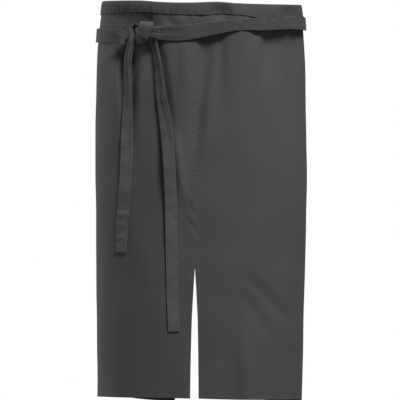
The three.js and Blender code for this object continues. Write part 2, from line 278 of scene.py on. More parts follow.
# %% Fold lines
FOLD_COLUMNS = "name top_girth top_z foot_girth foot_z half height grow fade"
FOLDS = [
    ("valley beside the seam", 14, -62, -27, -400, 25, -8, 0.15, 0.5),
    ("ridge left of the seam", -30, -70, -34, -190, 17, 2.6, 0.3, 0.5),
    ("fold beside the long tie end", -52, -250, -34, -422, 15, 6.6, 0.35, 0.45),
    ("hollow beside the long tie end", -89, -80, -62, -280, 20, -6, 0.2, 0.4),
    ("valley under the short tie end", -151, -74, -156, -345, 31, -11, 0.12, 0.6),
    ("crease beside the short tie end", -173, -72, -173, -225, 12, -6, 0.2, 0.6),
    ("gap beside the long tie end", -107, -66, -95, -185, 16, -2, 0.15, 0.75),
    ("hollow under the left belt", -95, -90, -100, -560, 62, -4, 0.3, 0.6),
    ("right front ridge", 84, -90, 84, -420, 36, 2.4, 0.3, 0.5),
    ("upper slanting valley", 84, -540, 202, -666, 32, -2.1, 0.35, 0.35),
    ("lower slanting valley", 76, -574, 150, -690, 28, -1.5, 0.35, 0.35),
    ("hem ridge", 86, -615, 95, -815, 27, 6, 0.65, 0),
    ("hem valley", 50, -640, 56, -815, 26, -2, 0.6, 0),
    ("left back fold", -380, -180, -395, -815, 55, -9, 0.6, 0),
    ("right back fold", 375, -180, 390, -815, 55, -9, 0.6, 0),
]


def bump(off):
    """A soft bump of unit height that has died away one unit from its middle."""
    return 0.5 + 0.5 * np.cos(math.pi * np.minimum(np.abs(off), 1))


def fold_height(folds, girth, z):
    """How far the folds push the cloth out from the form."""
    height = np.zeros(np.broadcast(girth, z).shape)
    for _, top_girth, top_z, foot_girth, foot_z, half, rise, grow, fade in folds:
        t = (top_z - z) / (top_z - foot_z)
        crest = rise * bump((girth - top_girth - (foot_girth - top_girth) * t) / half)
        dying = 1 - smoothstep(t, 1 - fade, 1) if fade else 1
        height += np.where((t > 0) & (t <= 1), crest * smoothstep(t, 0, grow) * dying, 0)
    return height


print(len(FOLDS), "folds with", len(FOLD_COLUMNS.split()), "columns")

# %% Dents where the belt ties the cloth in
DENT_COLUMNS = "name girth z left right up down height"
DENTS = [
    ("tied-in cloth left of the knot", -122, -68, 120, 62, 68, 130, -12),
    ("tied-in cloth at the left side", -225, -90, 60, 60, 30, 60, -2.5),
    ("hollow under the belt", 36, -80, 88, 25, 44, 200, -8.6),
    ("hollow under the right belt", 136, -92, 22, 66, 50, 90, -8.5),
    ("hollow at the right side", 200, -98, 108, 72, 58, 330, -10.5),
    ("wrinkle above the knot", -107, -38, 16, 14, 13, 10, -2.6),
    ("wrinkle above the belt", -64, -42, 15, 13, 16, 14, -2.6),
    ("crumple above the belt", -42, -41, 15, 18, 22, 20, 3),
    ("crumple behind the knot", -141, -60, 15, 13, 16, 12, 4),
    ("band ridge left of the middle", -30, -10, 40, 44, 40, 45, 3.5),
    ("band hollow right of the middle", 42, -25, 36, 32, 28, 38, -6.5),
    ("fold that touches the belt", 84, -40, 46, 30, 60, 120, 6.5),
    ("band hollow at the right", 196, -26, 48, 56, 26, 40, -6),
    ("band hollow at the left", -172, -26, 44, 40, 24, 32, -3),
]


def dent_height(girth, z):
    """How far the dents push the cloth of the panels and the waistband out from the form."""
    height = np.zeros(np.broadcast(girth, z).shape)
    for _, at_girth, at_z, left, right, up, down, rise in DENTS:
        across = (girth - at_girth) / np.where(girth < at_girth, left, right)
        height += rise * bump(across) * bump((z - at_z) / np.where(z > at_z, up, down))
    return height


print(len(DENTS), "dents with", len(DENT_COLUMNS.split()), "columns")

# %% Soft unevenness
WAVE_COUNT = 9
WAVE_SIZES = (0.6, 1.5)
PUCKER_STRETCH = 3


def soft_waves(u, v, seed):
    """Repeatable unevenness of about unit height; u and v count wavelengths."""
    draw = np.random.default_rng(seed)
    turns = draw.uniform(0, 2 * math.pi, WAVE_COUNT)
    sizes = draw.uniform(*WAVE_SIZES, WAVE_COUNT)
    starts = draw.uniform(0, 2 * math.pi, WAVE_COUNT)
    height = np.zeros(np.broadcast(u, v).shape)
    for turn, size, start in zip(turns, sizes, starts):
        height += np.sin(2 * math.pi * size * (u * math.cos(turn) + v * math.sin(turn)) + start)
    return height / math.sqrt(WAVE_COUNT)


def puckers(along, off, pitch, spread, seed):
    """Small pulls across a row of stitches, which die away to both sides of it."""
    return soft_waves(along / pitch, off / (PUCKER_STRETCH * pitch), seed) * near(off, spread)


print("unevenness is the sum of", WAVE_COUNT, "waves")

# %% [markdown]
# ## Cloth as a closed wall
# A single face has no thickness and shows a paper edge, and a Solidify modifier gives every edge the same
# one. Here each piece is a grid about its middle surface with its own front and back offsets, so that a
# hem is thicker than the cloth beside it, and the two faces meet in a rounded rim. Each point also keeps
# its place in the flat cloth, for the weave, and how worn it is. On the ties this mark also holds painted
# light: their free ends are painted lighter, so the parts near the knot stay darker, as in shade.

# %% Surface helpers
NUDGE = 0.4


def surface_normal(surface, u, v):
    """Outward direction of a surface, from small steps along it."""
    ahead = surface(u + NUDGE, v) - surface(u - NUDGE, v)
    up = surface(u, v + NUDGE) - surface(u, v - NUDGE)
    return unit(np.cross(ahead, up))


def spaced(*stops):
    """Places from stop to stop; each stop is a place and the step after it."""
    runs = []
    for (start, step), (end, _) in zip(stops, stops[1:]):
        count = max(1, round(abs(end - start) / step))
        runs.append(np.linspace(start, end, count + 1)[:-1])
    return np.concatenate([*runs, [stops[-1][0]]])


print("places every 2 mm, then every 5 mm:", spaced((0, 2), (4, 5), (14, 0)))

# %% Cloth piece
RIM_STEPS = 2


def cloth_piece(name, surface, u, v, front, back, wear_and_painted_light):
    """A closed wall of cloth about surface(u, v); front and back are its faces' offsets."""
    rows, columns = u.shape
    middle = surface(u, v)
    normal = surface_normal(surface, u, v)
    faces = [middle + normal * front[..., None], middle - normal * back[..., None]]
    index = np.arange(rows * columns).reshape(rows, columns)
    loop = np.concatenate([index[0], index[1:, -1], index[-1, -2::-1], index[-2:0:-1, 0]])
    row, column = np.divmod(loop, columns)
    inner = middle[np.clip(row, 1, rows - 2), np.clip(column, 1, columns - 2)]
    edge = [face.reshape(-1, 3)[loop] for face in faces]
    beyond = unit(middle.reshape(-1, 3)[loop] - inner)
    half = (edge[0] - edge[1]) / 2
    bulge = np.linalg.norm(half, axis=-1, keepdims=True)
    rims = []
    for k in range(1, RIM_STEPS + 1):
        angle = math.pi * k / (RIM_STEPS + 1)
        rims.append((edge[0] + edge[1]) / 2 + half * math.cos(angle) + beyond * bulge * math.sin(angle))
    points = np.concatenate([faces[0].reshape(-1, 3), faces[1].reshape(-1, 3), *rims])

    quad = np.stack([index[:-1, :-1], index[:-1, 1:], index[1:, 1:], index[1:, :-1]], axis=-1).reshape(-1, 4)
    size = rows * columns
    rings = [loop, *(2 * size + k * len(loop) + np.arange(len(loop)) for k in range(RIM_STEPS)), loop + size]
    quads = [quad, quad[:, ::-1] + size]
    for outer, inner_ring in zip(rings, rings[1:]):
        quads.append(np.stack([np.roll(outer, -1), outer, inner_ring, np.roll(inner_ring, -1)], axis=-1))
    mesh = bpy.data.meshes.new(name)
    mesh.from_pydata((points * MM).tolist(), [], np.concatenate(quads).tolist())
    mesh.shade_smooth()

    flat = np.stack([u, v, np.zeros_like(u)], axis=-1).reshape(-1, 3) * MM
    place = mesh.attributes.new("flat_cloth", "FLOAT_VECTOR", "POINT")
    place.data.foreach_set("vector", np.concatenate([flat, flat, *[flat[loop]] * RIM_STEPS]).ravel())
    # These values are wear, and on the ties also painted light that makes the free ends lighter than the
    # parts near the knot.
    wear_and_painted_light_values = wear_and_painted_light.ravel()
    wear_and_painted_light_attribute = mesh.attributes.new("wear_and_painted_light", "FLOAT", "POINT")
    wear_and_painted_light_attribute.data.foreach_set("value", np.concatenate([wear_and_painted_light_values, wear_and_painted_light_values, *[wear_and_painted_light_values[loop]] * RIM_STEPS]))
    piece = bpy.data.objects.new(name, mesh)
    scene.collection.objects.link(piece)
    print(f"{name}: {2 * len(mesh.polygons)} triangles")
    return piece


print("a rim has", RIM_STEPS, "rows of points between the two faces")

# %% [markdown]
# ## Panels
# Each panel is half a metre of twill, cut straight and hemmed by a narrow double turn along the split, the
# foot and the back edge. Above the split the left panel laps over the right one and is felled down with
# two rows of stitches. The wall is bent round the form and pushed out by the folds.

# %% Edges of the panels
PANEL_WIDTH = 500.0
PANEL_CLOTH = 1.2
SEAM_GIRTH = -12.0
SEAM_LAP = 10.6
EDGE_FADE = 1.5
EDGE_GIRTHS = [-560, -440, -400, -250, -125, -80, -30, 35, 75, 150, 250, 330, 400, 470, 560]
BAND_TOPS = [-2, -0.5, 0, 0.6, 0.6, -2.6, -4, -2.4, -5.4, -7, -7, -5.4, -4, -3, -2]
HEM_LEVELS = [-814, -804, -800, -797, -798, -798.5, -799, -801, -802, -802.5, -803, -809, -808, -802, -800]
SPLIT = {
    "z": [-812, -705, -640, -583, -536, -498, -472, 0],
    "left": [-23, -21, -19.2, -16, -13, -12.4, -6.7, -6.7],
    "right": [-4, -4.9, -6, -8.7, -11.6, -11.6, -17.3, -17.3],
}
band_top = curve_through(EDGE_GIRTHS, BAND_TOPS)
hem_level = curve_through(EDGE_GIRTHS, HEM_LEVELS)


def seam_edge(side, z):
    """Girth of a panel's front edge at a height; the seam has corners, so straight steps."""
    return np.interp(z, SPLIT["z"], SPLIT["left" if side < 0 else "right"])


print("split at the hem:", SPLIT["right"][0] - SPLIT["left"][0], "mm wide")

# %% Lapped seam
AIR = 0.4
LAP_STAND = (PANEL_CLOTH + AIR) / 2
LAP_EASE = 16.0
LAP_FULL_ABOVE = -570.0
LAP_NONE_BELOW = -640.0


def lap_height(girth, z):
    """Stand-off of a lapped layer beside the front seam, which ends where the split has opened."""
    off = np.abs(girth - SEAM_GIRTH)
    beside = 1 - smoothstep(off, SEAM_LAP, SEAM_LAP + LAP_EASE)
    return LAP_STAND * beside * smoothstep(z, LAP_NONE_BELOW, LAP_FULL_ABOVE)


print(f"lapped layers stand {LAP_STAND} mm off the form, to both sides of it")

# %% Fine creases of the panels
CREASES = [
    ("tack crease", -28, -392, -9, -412, 5, 0.8, 0.3, 0.4),
    ("tack crease", -30, -406, -8, -432, 5, -0.8, 0.3, 0.4),
    ("tack crease", -30, -424, -7, -452, 6, 0.9, 0.3, 0.4),
    ("tack crease", -27, -440, -7, -470, 5, -0.8, 0.3, 0.4),
    ("tack crease", -24, -462, -6, -486, 5, 0.7, 0.3, 0.4),
]
UNEVEN = 0.45
UNEVEN_GIRTH = 75
UNEVEN_HEIGHT = 130
UNEVEN_SEED = 3
UNDER_BAND = (-60, -30)
TACK_LEVEL = -480.0
TACK_FADE = 60
HEM_STITCH = 9.5
SEAM_PUCKER = 0.32
SEAM_SLANT = 0.5
HEM_PUCKER = 0.16
PUCKER_COLUMNS = "pitch spread seed"
PUCKERS = {
    "seam": (10, 11, 5),
    "split": (15, 9, 7),
    "foot": (16, 9, 9),
    "back": (15, 9, 11),
    "band": (13, 14, 13),
}
print(len(CREASES), "creases, puckers along", ", ".join(PUCKERS), "by", PUCKER_COLUMNS)


# %% Surface of a panel
def panel_surface(side):
    """The middle of a panel: u is the flat distance from the seam and v the height."""

    def surface(u, v):
        # The split moves the front edge, and this move dies away towards the back edge.
        share = (np.minimum(np.abs(u), PANEL_WIDTH) / PANEL_WIDTH) ** (1 / EDGE_FADE)
        girth = SEAM_GIRTH + u + (seam_edge(side, v) - SEAM_GIRTH) * (1 - share)
        at, _, _, out = form_at(girth, v)
        stand = dent_height(girth, v) + fold_height(FOLDS, girth, v) + fold_height(CREASES, girth, v)
        below_band = 1 - smoothstep(v, *UNDER_BAND)
        stand = stand + UNEVEN * below_band * soft_waves(girth / UNEVEN_GIRTH, v / UNEVEN_HEIGHT, UNEVEN_SEED)
        closed = smoothstep(v, TACK_LEVEL - TACK_FADE, TACK_LEVEL) * below_band
        pulled = puckers(v + SEAM_SLANT * girth, girth - SEAM_GIRTH, *PUCKERS["seam"])
        stand = stand + SEAM_PUCKER * closed * pulled
        from_split = np.abs(u) - HEM_STITCH
        from_foot = v - hem_level(SEAM_GIRTH + u) - HEM_STITCH
        from_back = PANEL_WIDTH - np.abs(u) - HEM_STITCH
        stand = stand + HEM_PUCKER * (1 - closed) * puckers(v, from_split, *PUCKERS["split"])
        stand = stand + HEM_PUCKER * puckers(u, from_foot, *PUCKERS["foot"])
        stand = stand + HEM_PUCKER * puckers(v, from_back, *PUCKERS["back"])
        return at + out * (stand - side * lap_height(girth, v))[..., None]

    return surface


print("middle of the left panel:", np.round(panel_surface(-1)(np.array(-200.0), np.array(-400.0)), 1))

# %% Panel meshes
BAND_CLOTH = 1.0
BAND_AIR = 0.7
BAND_STAND = PANEL_CLOTH / 2 + BAND_AIR + BAND_CLOTH / 2
HEM_TURN = 11.0
HEM_STEP = 1.2
HEM_EXTRA = 0.7
NO_HEM = 60.0
TACK_EASE = 40.0
BAND_COVERS = (-50, -36)
STITCH_DENT = 0.2
STITCH_DENT_WIDTH = 1.2
EDGE_WEAR = 0.7
EDGE_WEAR_WIDTH = 1.8
SEAM_WEAR = 0.2
SEAM_WEAR_WIDTH = 2.0
NOMINAL_HEIGHT = 795.0
PANEL_PLACES = spaced((0, 1.2), (14, 3.4), (330, 6), (486, 1.5), (PANEL_WIDTH, 0))
PANEL_HEIGHTS = spaced((0, 1.2), (14, 2.8), (NOMINAL_HEIGHT, 0)) / NOMINAL_HEIGHT


def hem_distance(u, v):
    """Distance from the nearest hemmed edge: the foot, the back edge, or the split below its tack."""
    foot = v - hem_level(SEAM_GIRTH + u)
    behind_edge = PANEL_WIDTH - np.abs(u)
    split = np.abs(u) + NO_HEM * smoothstep(v, TACK_LEVEL - TACK_EASE, TACK_LEVEL)
    return np.minimum(np.minimum(foot, behind_edge), split)


def panel(name, side):
    """One hemmed panel; side -1 is the viewer's left and +1 the right."""
    u = np.sort(side * PANEL_PLACES)
    top = band_top(SEAM_GIRTH + u) - BAND_CLOTH - BAND_STAND - AIR
    foot = hem_level(SEAM_GIRTH + u)
    v = foot + (top - foot) * PANEL_HEIGHTS[:, None]
    u = np.broadcast_to(u, v.shape)
    edge = hem_distance(u, v)
    front = PANEL_CLOTH / 2 - STITCH_DENT * near(edge - HEM_STITCH, STITCH_DENT_WIDTH)
    turned = (1 - smoothstep(edge, HEM_TURN, HEM_TURN + HEM_STEP)) * (1 - smoothstep(v, *BAND_COVERS))
    back = PANEL_CLOTH / 2 + HEM_EXTRA * turned
    wear_and_painted_light = np.maximum(EDGE_WEAR * near(edge, EDGE_WEAR_WIDTH), SEAM_WEAR * near(u, SEAM_WEAR_WIDTH))
    return cloth_piece(name, panel_surface(side), u, v, front, back, wear_and_painted_light)


left_panel = panel("left_panel_cloth", -1)
right_panel = panel("right_panel_cloth", 1)

# %% [markdown]
# ## Waistband
# One strip of the same twill is folded over the top edges of both panels and sewn through along its lower
# edge. The row of stitches draws the strip in and leaves short upright puckers, and the fold at the top
# stays soft and round. The strip's profile is an upside-down U, swept round the waist.

# %% Waistband
BAND_HEIGHT = 24.0
BAND_FLAT = BAND_HEIGHT - BAND_CLOTH / 2 - BAND_STAND
BAND_TURN = math.pi * BAND_STAND
BAND_GIRTH = 2 * BAND_FLAT + BAND_TURN
BAND_STITCH = 2.5
BAND_ROLL = 0.5
BAND_TOP_EASE = 3
BAND_PUCKER = 0.6
BAND_SLANT = 0.15
DEEPEST_PULL = -0.5
DROP_GIRTHS = [-260, -150, -60, 18, 44, 84, 116, 150, 260]
DROPS = [4, -0.5, -0.8, 1.6, -0.6, -0.4, 3.2, 0.6, 0]
band_drop = curve_through(DROP_GIRTHS, DROPS)


def band_surface(u, v):
    """The strip: u is the flat distance from the seam, v runs up the outside, over and down the inside."""
    girth = SEAM_GIRTH + u
    turn = np.clip((v - BAND_FLAT) / BAND_STAND, 0, math.pi)
    down = BAND_HEIGHT - np.minimum(v, BAND_FLAT) - BAND_STAND * np.sin(turn)
    down = down + np.maximum(v - BAND_FLAT - BAND_TURN, 0)
    down = down + band_drop(girth) * np.clip(1 - v / BAND_FLAT, 0, 1)
    z = band_top(girth) - down
    at, _, _, out = form_at(girth, z)
    stand = BAND_STAND * np.cos(turn) * (1 + lap_height(girth, z) / BAND_STAND)
    outside = 1 - smoothstep(v, BAND_FLAT - BAND_TOP_EASE, BAND_FLAT)
    rounded = BAND_ROLL * np.sin(math.pi * np.clip((v - BAND_STITCH) / BAND_FLAT, 0, 1))
    pulled = BAND_PUCKER * puckers(u + BAND_SLANT * v, v - BAND_STITCH, *PUCKERS["band"])
    stand = stand + dent_height(girth, z) + outside * (rounded + np.maximum(pulled, DEEPEST_PULL))
    return at + out * stand[..., None]


print(f"strip {BAND_GIRTH:.1f} mm round its fold")

# %% Waistband mesh
BAND_DENT = 0.15
BAND_DENT_WIDTH = 1.0
FOLD_WEAR_WIDTH = 3.0
BAND_EDGE_WEAR = 0.5
BAND_EDGE_WEAR_WIDTH = 1.5

band_u = spaced((-PANEL_WIDTH, 4), (-330, 2.6), (330, 4), (PANEL_WIDTH, 0))
band_v = spaced((0, 1.2), (BAND_FLAT, 0.7), (BAND_FLAT + BAND_TURN, 3), (BAND_GIRTH, 0))
band_u, band_v = np.meshgrid(band_u, band_v)
band_front = BAND_CLOTH / 2 - BAND_DENT * near(band_v - BAND_STITCH, BAND_DENT_WIDTH)
band_back = 0 * band_v + BAND_CLOTH / 2
fold_wear = near(band_v - BAND_FLAT - BAND_TURN / 2, FOLD_WEAR_WIDTH)
band_wear = np.maximum(fold_wear, BAND_EDGE_WEAR * near(band_v, BAND_EDGE_WEAR_WIDTH))
waistband = cloth_piece("waistband_cloth", band_surface, band_u, band_v, band_front, band_back, band_wear)

# %% [markdown]
# ## Ties
# Each tie is a folded strip, sewn flat along both edges. It starts on the end of the waistband behind,
# crosses to the other side, comes round and makes a half knot. A curve with a bevel would turn its strip
# at will, so the route is a table: where the middle of the tie lies, how far it stands off the form, how
# wide it shows and which way its width points. Where the knot squeezes it, its cloth rises in pleats.

# %% Route of the right tie
# A place is a girth, or the x that shows in front. The way across has parts along the girth, up and out.
UPRIGHT = (0, 1, 0)
LEANING = (0, 1, 0.2)
LEVEL = (-1, 0, 0)
ROUTE_COLUMNS = "kind place z out width across pleat camber"
RIGHT_ROUTE = [
    ("girth", 603, -13, 3.8, 24, UPRIGHT, 0, 0),
    ("girth", 592, -13, 4, 24, UPRIGHT, 0, 0),
    ("girth", 575, -13.5, 6.6, 25, UPRIGHT, 0, 0),
    ("girth", 535, -15, 6.8, 27, UPRIGHT, 0, 0),
    ("girth", 488, -19, 6.9, 27, UPRIGHT, 0, 0),
    ("girth", 430, -25, 6.2, 27, UPRIGHT, 0, 0),
    ("girth", 350, -37, 5.6, 27, UPRIGHT, 0, 0),
    ("girth", 270, -46, 6.2, 26, UPRIGHT, 0, 0),
    ("x", 180, -44.4, 9, 26, LEANING, 0, 0),
    ("x", 129, -46.9, 9.6, 26.6, LEANING, 0, 0),
    ("x", 79, -49, 10.2, 22.5, LEANING, 0, 0),
    ("x", 38, -53.9, 7.6, 25, LEANING, 0, 0),
    ("x", -2, -60.2, 5.8, 30, LEANING, 0.1, 0),
    ("x", -38, -64.9, 6.4, 32.6, LEANING, 0.15, 0),
    ("x", -73, -65.3, 8.2, 31.4, (0, 1, 0.28), 0.3, 0),
    ("x", -96, -64.2, 12, 26, (0, 1, 0.25), 0.45, 0),
    ("x", -112, -60.5, 11, 20, (0, 1, 0.1), 0.35, 0),
    ("x", -122, -57, 6, 12, (0, 0.8, 0.6), 0.2, 0),
    ("x", -131, -49.5, 4, 11, (-0.1, 0.5, 0.85), 0, 0),
    ("x", -137, -54.5, 4.4, 18, (-0.15, 0.1, 0.98), 0, 0),
    ("x", -138.8, -64, 6.4, 15, (-0.25, 0, 0.97), 0, 0),
    ("x", -140.4, -76, 7.4, 11, (-0.75, 0, 0.65), 0.1, 0),
    ("x", -142.5, -93, 6, 17, (-0.98, 0, -0.2), 0.3, 0),
    ("x", -146.5, -114, 2.8, 22, (-0.93, 0, -0.37), 0.6, 0),
    ("x", -148, -148, -0.6, 25, (-0.92, 0, -0.4), 0.7, 0),
    ("x", -148, -185, -0.8, 26, (-0.94, 0, -0.34), 0.6, 0),
    ("x", -148, -215, -0.6, 26.8, (-0.97, 0, -0.24), 0.45, 0),
    ("x", -148.6, -250, 0.4, 26.6, (-1, 0, -0.06), 0.25, 0),
    ("x", -149, -285, 1.2, 26.6, (-0.99, 0, 0.1), 0.1, 0),
    ("x", -150.8, -345, 2.8, 26.4, (-0.99, 0, 0.1), 0, 0),
    ("x", -154, -392, 3.8, 26, (-0.99, 0, 0.1), 0, 0),
    ("x", -158.5, -452, 3.2, 26, (-1, 0, 0.08), 0, 0),
    ("x", -161, -506, 2.6, 25.5, LEVEL, 0, 0),
]
print(len(RIGHT_ROUTE), "rows with", len(ROUTE_COLUMNS.split()), "columns")

# %% Route of the left tie
LEFT_ROUTE = [
    ("girth", -627, -13, 3.8, 24, UPRIGHT, 0, 0),
    ("girth", -597, -15, 3.8, 25, UPRIGHT, 0, 0),
    ("girth", -555, -29, 3.7, 27, UPRIGHT, 0, 0),
    ("girth", -512, -47, 3.7, 27, UPRIGHT, 0, 0),
    ("girth", -440, -56, 3.4, 27, UPRIGHT, 0, 0),
    ("girth", -360, -64, 3.4, 27.5, UPRIGHT, 0, 0),
    ("girth", -271, -69.2, 5, 28, UPRIGHT, 0, 0),
    ("x", -190, -69.4, 11, 28, LEANING, 0.05, 0),
    ("x", -174, -70.4, 12.4, 28, LEANING, 0.08, 0),
    ("x", -158, -74.2, 7, 26.5, LEANING, 0.12, 0),
    ("x", -145.5, -80.6, -2.4, 22, (0.2, 0.95, -0.1), 0.3, 0),
    ("x", -134.5, -83.8, -1.8, 14, (-0.1, 0.95, 0.1), 0.4, 0),
    ("x", -127, -82, 6.4, 15, (-0.75, 0.6, 0), 0.3, 0.5),
    ("x", -119.5, -76, 16.2, 23, (-0.94, 0.3, 0), 0.2, 2),
    ("x", -116, -68.5, 18.8, 26.5, (-0.96, 0.27, 0), 0.1, 3),
    ("x", -113.5, -59.5, 20.8, 28, (-0.96, 0.27, 0), 0.1, 3),
    ("x", -110.5, -49.5, 22.2, 29, (-0.98, 0.18, 0), 0, 2),
    ("x", -108.8, -45.2, 20, 28.5, (-0.99, 0.14, 0), 0, 0.8),
    ("x", -107.6, -43.4, 14, 28, (-1, 0.1, 0), 0, 0),
    ("x", -106.4, -44.8, 7.2, 26, (-1, 0.05, 0), 0, 0),
    ("x", -104.6, -50, 2.4, 23, LEVEL, 0.1, 0),
    ("x", -100, -62, 0, 21, LEVEL, 0.2, 0),
    ("x", -96, -80, 0, 20, (-0.82, 0, -0.57), 0.5, 0),
    ("x", -92, -98, 0.8, 22, (-0.7, 0, -0.71), 0.6, 0),
    ("x", -88, -130, 5, 24, (-0.78, 0, -0.62), 0.6, 0),
    ("x", -83, -175, 6.6, 24, (-0.9, 0, -0.43), 0.5, 0),
    ("x", -73, -235, 5.4, 25.4, (-0.98, 0, -0.18), 0.3, 0),
    ("x", -66, -292, 7, 25, (-1, 0, -0.02), 0.2, 0),
    ("x", -64.2, -320, 8.4, 24.8, (-0.98, 0, 0.2), 0.1, 0),
    ("x", -62.3, -352, 7.8, 24.5, (-0.97, 0, 0.24), 0, 0),
    ("x", -61, -385, 5.6, 24.5, (-0.99, 0, 0.16), 0, 0),
    ("x", -60.4, -410, 4.2, 24.4, (-1, 0, 0.06), 0, 0),
    ("x", -60, -440, 4, 24.2, (-1, 0, 0.04), 0, 0),
    ("x", -59.5, -480, 3.6, 24, (-1, 0, 0.02), 0, 0),
    ("x", -57, -603, 2.5, 23.8, (-1, 0, 0.04), 0, 0),
    ("x", -54.5, -666, 2.3, 23, (-1, 0, 0.04), 0, 0),
]
print(len(LEFT_ROUTE), "rows")

# %% Curve through a route
def chord_curve(rows, steps):
    """A smooth curve through the rows, with steps by the square root of each gap, so it makes no loops."""
    ends = np.vstack([2 * rows[0] - rows[1], rows, 2 * rows[-1] - rows[-2]])
    runs = []
    for k, count in enumerate(steps):
        a, b, c, d = ends[k : k + 4]
        before, span, after = (math.sqrt(np.linalg.norm(q - p)) for p, q in ((a, b), (b, c), (c, d)))
        leave = ((b - a) / before - (c - a) / (before + span) + (c - b) / span) * span
        arrive = ((c - b) / span - (d - b) / (span + after) + (d - c) / after) * span
        t = (np.arange(count) / count)[:, None]
        cube = 2 * b - 2 * c + leave + arrive
        square = 3 * c - 3 * b - 2 * leave - arrive
        runs.append(b + leave * t + square * t**2 + cube * t**3)
    return np.vstack([*runs, rows[-1]])


corner = np.array([(0, 0), (10, 0), (10, 10)], float)
print("half way to a square corner and half way on:", np.round(chord_curve(corner, [2, 2])[1::2], 2).tolist())

# %% A tie set on the form
ROUTE_STEP = 1.5
FEWEST_STEPS = 2


def tie_stations(route):
    """Length along a tie, with its middle, its width's and face's directions, widths, pleats and camber."""
    kinds, places, heights, stands, widths, ways, pleats, cambers = zip(*route)
    rows = []
    for kind, place, z, out in zip(kinds, places, heights, stands):
        rows.append((place if kind == "girth" else girth_across(place, z, out), z, out))
    rows = np.array(rows, float)
    gaps = np.linalg.norm(np.diff(rows, axis=0), axis=1)
    steps = np.maximum(FEWEST_STEPS, np.round(gaps / ROUTE_STEP)).astype(int)
    girth, z, stand = chord_curve(rows, steps).T
    count = np.concatenate([*(k + np.arange(n) / n for k, n in enumerate(steps)), [len(steps)]])
    order = np.arange(len(route))
    side, rise, lift = (np.interp(count, order, part) for part in zip(*ways))
    width, pleat, camber = (curve_through(order, part)(count) for part in (widths, pleats, cambers))
    at, along, up, out = form_at(girth, z)
    middle = at + out * stand[:, None]
    across = along * side[:, None] + up * rise[:, None] + out * lift[:, None]
    heading = unit(np.gradient(middle, axis=0))
    across = unit(across - heading * (across * heading).sum(axis=1, keepdims=True))
    length = np.concatenate([[0], np.cumsum(np.linalg.norm(np.diff(middle, axis=0), axis=1))])
    return length, middle, across, unit(np.cross(heading, across)), width, pleat, camber


left_stations = tie_stations(LEFT_ROUTE)
right_stations = tie_stations(RIGHT_ROUTE)
print(f"ties {left_stations[0][-1]:.0f} and {right_stations[0][-1]:.0f} mm long")

# %% Pleats and puckers of the ties
TIE_WIDTH = 27.0
TIE_STITCH = 2.6
PLEATS = 1.9
PLEAT_DRIFT = 1.2
PLEAT_DRIFT_LENGTH = 23
PLEAT_WAVES = [(1, 1, 1), (2.3, -1, 0.5), (3.7, 2.1, 0.2)]
TIE_UNEVEN = 0.4
TIE_UNEVEN_LENGTH = 48
TIE_UNEVEN_WIDTH = 60
TIE_PUCKER = 0.18
TIE_PUCKER_PITCH = 13
TIE_PUCKER_SPREAD = 8
BELT_PUCKER = 0.24
BELT_EASE = 40
HANGING = 640.0
print("pleats are the sum of", len(PLEAT_WAVES), "waves by turns, drift and height")

# %% Crumple above a free end
CRUMPLE_RISE = (10, 24)
CRUMPLE_FALL = (70, 96)
CRUMPLE_LENGTH = 3.1
CRUMPLE_SWAY = 1.3
CRUMPLE_SWAY_LENGTH = 17
CRUMPLE_SLANT = 0.09
CRUMPLE_MIDDLE = 2
CRUMPLE_HALF = 14


def crumpled(from_end, v):
    """Short waves across a tie, a hand's width above its free end."""
    reach_up = smoothstep(from_end, *CRUMPLE_RISE) * (1 - smoothstep(from_end, *CRUMPLE_FALL))
    sway = CRUMPLE_SWAY * np.sin(from_end / CRUMPLE_SWAY_LENGTH) + CRUMPLE_SLANT * v
    waves = np.sin(from_end / CRUMPLE_LENGTH + sway)
    return reach_up * waves * bump((v - CRUMPLE_MIDDLE) / CRUMPLE_HALF)


print("crumpled from", CRUMPLE_RISE[0], "to", CRUMPLE_FALL[1], "mm above the free end")

# %% Tie surface
def tie_surface(stations, seed, crumple):
    """The middle of a tie: u is the length along it and v the place across its flat width."""
    length, middle, across, normal, width, pleat, camber = stations

    def along(table, u):
        return np.stack([np.interp(u, length, table[:, c]) for c in range(3)], axis=-1)

    def surface(u, v):
        drift = PLEAT_DRIFT * np.sin(u / PLEAT_DRIFT_LENGTH + seed)
        turn = 2 * math.pi * PLEATS * v / TIE_WIDTH
        from_end = length[-1] - u
        pleats = sum(high * np.cos(turns * turn + drifts * drift) for turns, drifts, high in PLEAT_WAVES)
        stand = np.interp(u, length, pleat) * pleats
        stand = stand + np.interp(u, length, camber) * (1 - (2 * v / TIE_WIDTH) ** 2)
        stand = stand + TIE_UNEVEN * soft_waves(u / TIE_UNEVEN_LENGTH, v / TIE_UNEVEN_WIDTH, seed)
        tight = TIE_PUCKER + BELT_PUCKER * smoothstep(from_end, HANGING, HANGING + BELT_EASE)
        for edge in (-1, 1):
            off = v - edge * (TIE_WIDTH / 2 - TIE_STITCH)
            stand = stand + tight * puckers(u, off, TIE_PUCKER_PITCH, TIE_PUCKER_SPREAD, seed + 1)
        stand = stand + crumple * crumpled(from_end, v)
        shown = v * np.interp(u, length, width) / TIE_WIDTH
        return along(middle, u) + along(across, u) * shown[..., None] + along(normal, u) * stand[..., None]

    return surface


left_tie_surface = tie_surface(left_stations, seed=21, crumple=0.15)
right_tie_surface = tie_surface(right_stations, seed=31, crumple=0.55)
print("free end of the left tie:", np.round(left_tie_surface(left_stations[0][-1:], np.zeros(1)), 1))

# %% Tie meshes
TIE_CLOTH = 1.4
TIE_EDGE = (TIE_WIDTH - TIE_CLOTH) / 2
TIE_STEP_ALONG = 2.2
TIE_STEP_ACROSS = 0.8
TIE_DENT = 0.18
TIE_DENT_WIDTH = 0.9
# Handling wear and painted light: a tie is drawn lighter over the last 230 to 330 mm of its free end, so it
# stays darker near the knot and along the belt, where shade falls.
HANDLED_WEAR_AND_PAINTED_LIGHT = 0.5
HANDLED_AND_PAINTED_LIGHT_REACH = (230, 330)
TIE_EDGE_WEAR = 0.15
TIE_EDGE_WEAR_WIDTH = 1.6


